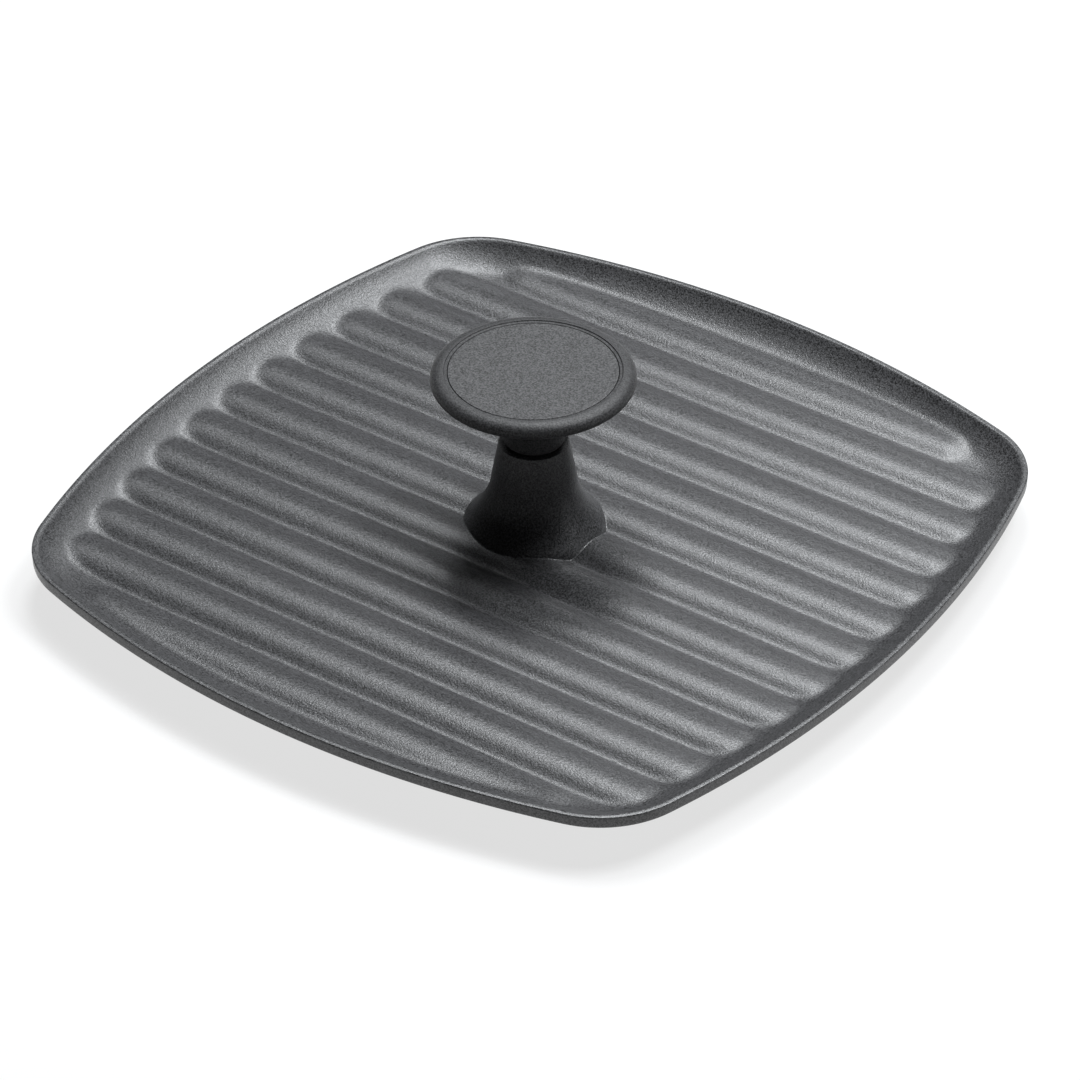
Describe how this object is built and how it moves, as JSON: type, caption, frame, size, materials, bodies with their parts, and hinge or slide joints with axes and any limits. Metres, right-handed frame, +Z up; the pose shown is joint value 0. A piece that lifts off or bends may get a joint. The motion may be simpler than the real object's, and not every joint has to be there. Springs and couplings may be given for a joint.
{
  "type": "grill press",
  "caption": "Square cast-iron press with a ribbed plate, upturned rim and screw-on round knob, laid on food to flatten and sear it in a grill pan.",
  "frame": {"origin": "centre of the plane of the grill ridge tips, straight under the middle of the knob", "axes": "+Z up out of the knob, +X along the ribs, +Y across the ribs"},
  "size_m": [0.242, 0.242, 0.0615],
  "materials": {
    "enamelled_iron": "fine-grained matt dark grey enamel",
    "stud_steel": "plain zinc-plated thread",
    "washer_steel": "blackened steel",
    "insert_brass": "turned brass",
    "knob_moulding": "matt moulded phenolic",
    "cap_moulding": "fine-textured moulded phenolic"
  },
  "bodies": {
    "plate": {"press_plate": "enamelled_iron", "knob_stud": "stud_steel"},
    "washer": {"knob_washer": "washer_steel"},
    "knob": {"knob": "knob_moulding", "knob_insert": "insert_brass", "knob_cap": "cap_moulding"}
  },
  "joints": [
    {"name": "knob_lift", "type": "slide", "parent": "plate", "child": "washer", "axis": [0, 0, 1], "range_m": [0, 0.0101]},
    {"name": "knob_unscrew", "type": "hinge", "parent": "washer", "child": "knob", "pos_m": [0, 0, 0.0382], "axis": [0, 0, 1], "range_deg": [0, 3600]}
  ],
  "couplings": [
    {"joint": "knob_lift", "follows": "knob_unscrew", "m_per_rad": 0.00015915}
  ]
}
